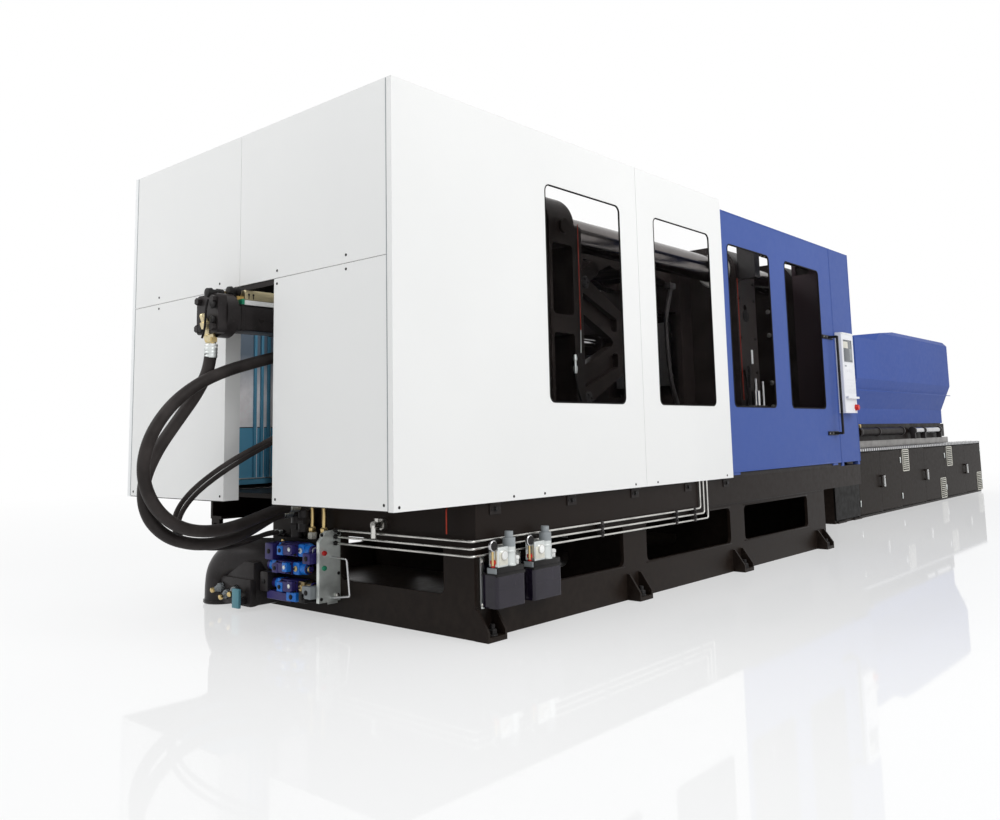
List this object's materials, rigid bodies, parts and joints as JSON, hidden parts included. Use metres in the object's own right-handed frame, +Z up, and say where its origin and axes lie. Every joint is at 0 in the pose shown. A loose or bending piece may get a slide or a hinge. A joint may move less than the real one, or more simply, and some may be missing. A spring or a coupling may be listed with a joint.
{
  "type": "injection moulding machine",
  "caption": "Horizontal injection moulding machine with a toggle clamp behind sheet guards, a sliding gate, hydraulics on a welded base and a covered injection unit.",
  "frame": {"origin": "centre of the bounding box, on the floor", "axes": "+X from the clamp end to the injection end, +Y away from the operator, +Z up"},
  "size_m": [11.039, 2.194, 2.251],
  "materials": {
    "base_black": "satin black paint",
    "rail_steel": "ground steel",
    "cover_white": "smooth white powder coat",
    "gate_blue": "smooth blue powder coat",
    "frame_steel": "dark grey paint",
    "clear_pane": "clear plastic",
    "handle_black": "satin black",
    "panel_white": "smooth white powder coat",
    "stop_red": "gloss red",
    "casting": "dark painted casting",
    "bar_chrome": "ground and chromed steel",
    "nut_steel": "machined steel",
    "cylinder_black": "black paint",
    "brass": "machined brass",
    "valve_blue": "blue violet coating",
    "tank_clear": "milky moulded plastic",
    "hose_rubber": "matt black rubber",
    "cabinet_black": "satin black powder coat",
    "tread": "bare tread plate",
    "heater": "metal heater bands"
  },
  "bodies": {
    "frame": {"clamp_base": "base_black", "slide_rails": "rail_steel", "front_guard": "cover_white", "rear_guard": "cover_white", "end_panels": "cover_white", "guard_frame": "frame_steel", "guard_panes": "clear_pane", "gate_rails": "frame_steel", "fixed_guards": "gate_blue", "control_panel": "panel_white", "fixed_platen": "casting", "tie_bars": "bar_chrome", "manifold": "nut_steel", "valves": "valve_blue", "pump_unit": "cylinder_black", "pipe_fittings": "brass", "tap": "brass", "lubricator_tanks": "tank_clear", "lubricator_pumps": "handle_black", "steel_tubes": "bar_chrome", "hose_large_1": "hose_rubber", "hose_large_2": "hose_rubber", "hose_small_1": "hose_rubber", "hose_small_2": "hose_rubber", "injection_base": "base_black", "cabinet_plates": "cabinet_black", "tread_plate": "tread"},
    "tailstock": {"tailstock_platen": "casting", "adjust_nuts": "nut_steel", "clamp_cylinder": "cylinder_black", "cylinder_ports": "brass", "guide_rods": "bar_chrome"},
    "crosshead_body": {"crosshead": "casting", "piston_rod": "bar_chrome"},
    "rear_upper": {"rear_link_upper": "casting"},
    "rear_lower": {"rear_link_lower": "casting"},
    "front_upper": {"front_link_upper": "casting"},
    "front_lower": {"front_link_lower": "casting"},
    "small_upper": {"small_link_upper": "casting"},
    "small_lower": {"small_link_lower": "casting"},
    "moving_platen_body": {"moving_platen": "casting", "safety_bar": "nut_steel"},
    "ejector_body": {"ejector": "nut_steel"},
    "front_gate_body": {"front_gate": "gate_blue", "front_gate_panes": "clear_pane", "gate_handle": "handle_black"},
    "rear_gate_body": {"rear_gate": "gate_blue"},
    "carriage_body": {"carriage": "casting", "injection_cover": "gate_blue", "barrel": "heater"},
    "plate_body": {"injection_plate": "casting"},
    "screw_body": {"screw": "bar_chrome"},
    "stop_button_body": {"stop_button": "stop_red"},
    "tap_lever_body": {"tap_lever": "stop_red"},
    "door_body_1": {"door_1": "cabinet_black"},
    "door_body_2": {"door_2": "cabinet_black"},
    "door_body_3": {"door_3": "cabinet_black"},
    "door_body_4": {"door_4": "cabinet_black"},
    "door_body_5": {"door_5": "cabinet_black"},
    "door_body_6": {"door_6": "cabinet_black"}
  },
  "joints": [
    {"name": "tailstock_adjust", "type": "slide", "parent": "frame", "child": "tailstock", "axis": [1, 0, 0], "range_m": [-0.15, 0.25], "deforming": ["hose_large_1", "hose_large_2", "hose_small_1", "hose_small_2"]},
    {"name": "platen_slide", "type": "slide", "parent": "tailstock", "child": "moving_platen_body", "axis": [1, 0, 0], "range_m": [-0.656, 0]},
    {"name": "crosshead_slide", "type": "slide", "parent": "tailstock", "child": "crosshead_body", "axis": [1, 0, 0], "range_m": [-0.2816, 0]},
    {"name": "rear_upper_pivot", "type": "hinge", "parent": "tailstock", "child": "rear_upper", "pos_m": [-3.0555, 0, 2.01], "axis": [0, 1, 0], "range_deg": [0, 66.59]},
    {"name": "rear_lower_pivot", "type": "hinge", "parent": "tailstock", "child": "rear_lower", "pos_m": [-3.0555, 0, 0.77], "axis": [0, 1, 0], "range_deg": [-66.59, 0]},
    {"name": "knee_upper_pivot", "type": "hinge", "parent": "rear_upper", "child": "front_upper", "pos_m": [-2.5105, 0, 2.01], "axis": [0, 1, 0], "range_deg": [-133.17, 0]},
    {"name": "knee_lower_pivot", "type": "hinge", "parent": "rear_lower", "child": "front_lower", "pos_m": [-2.5105, 0, 0.77], "axis": [0, 1, 0], "range_deg": [0, 133.17]},
    {"name": "small_upper_pivot", "type": "hinge", "parent": "crosshead_body", "child": "small_upper", "pos_m": [-3.0755, 0, 1.74], "axis": [0, 1, 0], "range_deg": [-0.05, 21.24]},
    {"name": "small_lower_pivot", "type": "hinge", "parent": "crosshead_body", "child": "small_lower", "pos_m": [-3.0755, 0, 1.04], "axis": [0, 1, 0], "range_deg": [-21.24, 0.05]},
    {"name": "ejector_slide", "type": "slide", "parent": "moving_platen_body", "child": "ejector_body", "axis": [1, 0, 0], "range_m": [0, 0.115]},
    {"name": "front_gate_slide", "type": "slide", "parent": "frame", "child": "front_gate_body", "axis": [1, 0, 0], "range_m": [-1.52, 0]},
    {"name": "rear_gate_slide", "type": "slide", "parent": "frame", "child": "rear_gate_body", "axis": [1, 0, 0], "range_m": [-1.52, 0]},
    {"name": "carriage_slide", "type": "slide", "parent": "frame", "child": "carriage_body", "axis": [1, 0, 0], "range_m": [0, 0.3]},
    {"name": "injection_slide", "type": "slide", "parent": "carriage_body", "child": "plate_body", "axis": [1, 0, 0], "range_m": [-0.3, 0]},
    {"name": "screw_turn", "type": "hinge", "parent": "plate_body", "child": "screw_body", "pos_m": [3.0645, 0, 1.39], "axis": [1, 0, 0], "continuous": true},
    {"name": "stop_button_press", "type": "slide", "parent": "frame", "child": "stop_button_body", "axis": [0, 1, 0], "range_m": [0, 0.006]},
    {"name": "tap_lever_turn", "type": "hinge", "parent": "frame", "child": "tap_lever_body", "pos_m": [-4.7555, -0.446, 0.465], "axis": [0, 0, 1], "range_deg": [-90, 0]},
    {"name": "door_1_hinge", "type": "hinge", "parent": "frame", "child": "door_body_1", "pos_m": [1.061, -0.5045, 0.3], "axis": [0, 0, 1], "range_deg": [-80, 0]},
    {"name": "door_2_hinge", "type": "hinge", "parent": "frame", "child": "door_body_2", "pos_m": [2.242, -0.5045, 0.3], "axis": [0, 0, 1], "range_deg": [0, 80]},
    {"name": "door_3_hinge", "type": "hinge", "parent": "frame", "child": "door_body_3", "pos_m": [2.251, -0.5045, 0.3], "axis": [0, 0, 1], "range_deg": [-80, 0]},
    {"name": "door_4_hinge", "type": "hinge", "parent": "frame", "child": "door_body_4", "pos_m": [3.795, -0.5045, 0.3], "axis": [0, 0, 1], "range_deg": [0, 80]},
    {"name": "door_5_hinge", "type": "hinge", "parent": "frame", "child": "door_body_5", "pos_m": [3.804, -0.5045, 0.3], "axis": [0, 0, 1], "range_deg": [-80, 0]},
    {"name": "door_6_hinge", "type": "hinge", "parent": "frame", "child": "door_body_6", "pos_m": [5.355, -0.5045, 0.3], "axis": [0, 0, 1], "range_deg": [0, 80]}
  ],
  "couplings": [
    {"joint": "rear_upper_pivot", "follows": "platen_slide", "rad_per_m": -1.7702},
    {"joint": "rear_lower_pivot", "follows": "platen_slide", "rad_per_m": 1.7702},
    {"joint": "knee_upper_pivot", "follows": "platen_slide", "rad_per_m": 3.5405},
    {"joint": "knee_lower_pivot", "follows": "platen_slide", "rad_per_m": -3.5405},
    {"joint": "crosshead_slide", "follows": "platen_slide", "ratio": 0.42854},
    {"joint": "small_upper_pivot", "follows": "platen_slide", "rad_per_m": -0.56373},
    {"joint": "small_lower_pivot", "follows": "platen_slide", "rad_per_m": 0.56373}
  ]
}
